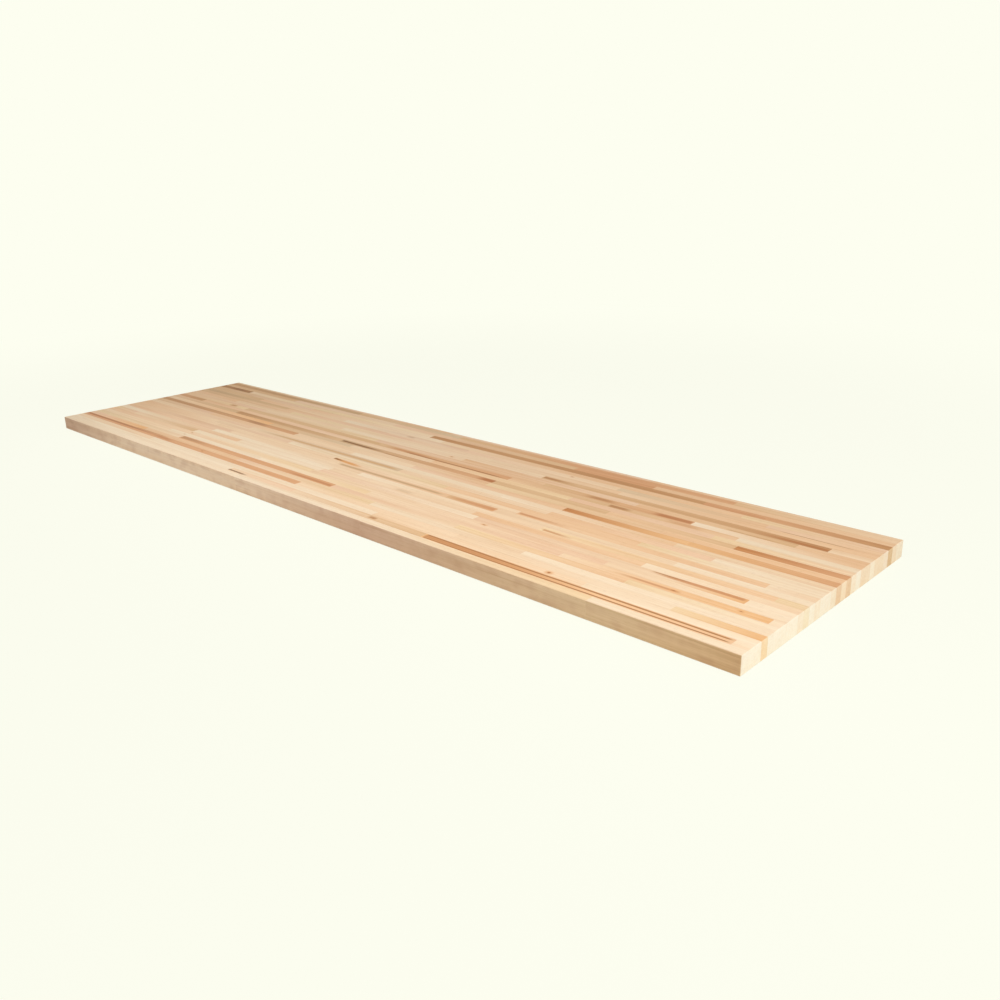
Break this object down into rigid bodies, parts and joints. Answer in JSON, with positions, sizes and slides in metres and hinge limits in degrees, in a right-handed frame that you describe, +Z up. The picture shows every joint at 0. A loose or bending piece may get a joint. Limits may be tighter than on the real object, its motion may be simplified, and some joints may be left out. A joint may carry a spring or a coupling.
{
  "type": "butcher block countertop",
  "caption": "Flat butcher block countertop of solid hardwood staves, glued edge to edge in rows and butted end to end, with every outer edge eased.",
  "frame": {"origin": "middle of the bottom face of the panel", "axes": "+X along the length, +Y from the front long edge to the back one, +Z up through the thickness"},
  "size_m": [2.438, 0.648, 0.038],
  "materials": {
    "hardwood": "matte"
  },
  "bodies": {
    "root": {"stave_row_01": "hardwood", "stave_row_02": "hardwood", "stave_row_03": "hardwood", "stave_row_04": "hardwood", "stave_row_05": "hardwood", "stave_row_06": "hardwood", "stave_row_07": "hardwood", "stave_row_08": "hardwood", "stave_row_09": "hardwood", "stave_row_10": "hardwood", "stave_row_11": "hardwood", "stave_row_12": "hardwood", "stave_row_13": "hardwood", "stave_row_14": "hardwood", "stave_row_15": "hardwood", "stave_row_16": "hardwood", "stave_row_17": "hardwood", "stave_row_18": "hardwood", "stave_row_19": "hardwood", "stave_row_20": "hardwood", "stave_row_21": "hardwood", "stave_row_22": "hardwood", "stave_row_23": "hardwood", "stave_row_24": "hardwood", "stave_row_25": "hardwood", "stave_row_26": "hardwood", "stave_row_27": "hardwood", "stave_row_28": "hardwood", "stave_row_29": "hardwood", "stave_row_30": "hardwood", "stave_row_31": "hardwood"}
  },
  "joints": []
}
